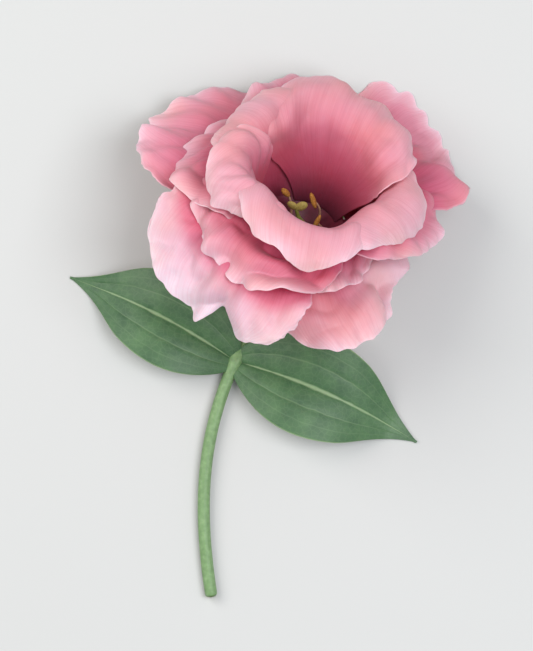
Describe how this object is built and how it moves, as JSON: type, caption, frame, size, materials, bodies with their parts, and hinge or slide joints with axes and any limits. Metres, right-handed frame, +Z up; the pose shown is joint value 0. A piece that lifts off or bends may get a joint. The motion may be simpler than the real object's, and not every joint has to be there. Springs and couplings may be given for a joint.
{
  "type": "lisianthus flower",
  "caption": "Picked double pink lisianthus lying on a surface: wide cupped bloom of overlapping wavy petals, green calyx, curved stem and a pair of leaves.",
  "frame": {"origin": "On the surface that the flower lies on, under the middle of the whole flower's box.", "axes": "+Z up from the surface, +Y along the flower from the cut end of the stem to the bloom, +X to the right as the flower is looked down on."},
  "size_m": [0.0928, 0.123, 0.049],
  "materials": {
    "petal": "soft, thin and slightly translucent, with fine radial streaks",
    "sepal_green": "smooth, matte green",
    "anther_yellow": "matte, ochre, powdery with pollen",
    "pistil_green": "smooth, slightly moist",
    "stem_green": "smooth with a waxy bloom",
    "leaf_green": "smooth, grey-green waxy bloom, satin"
  },
  "bodies": {
    "root": {"corolla": "petal", "calyx": "sepal_green", "stamens": "anther_yellow", "pistil": "pistil_green", "stem": "stem_green", "leaf_left": "leaf_green", "leaf_right": "leaf_green"}
  },
  "joints": []
}
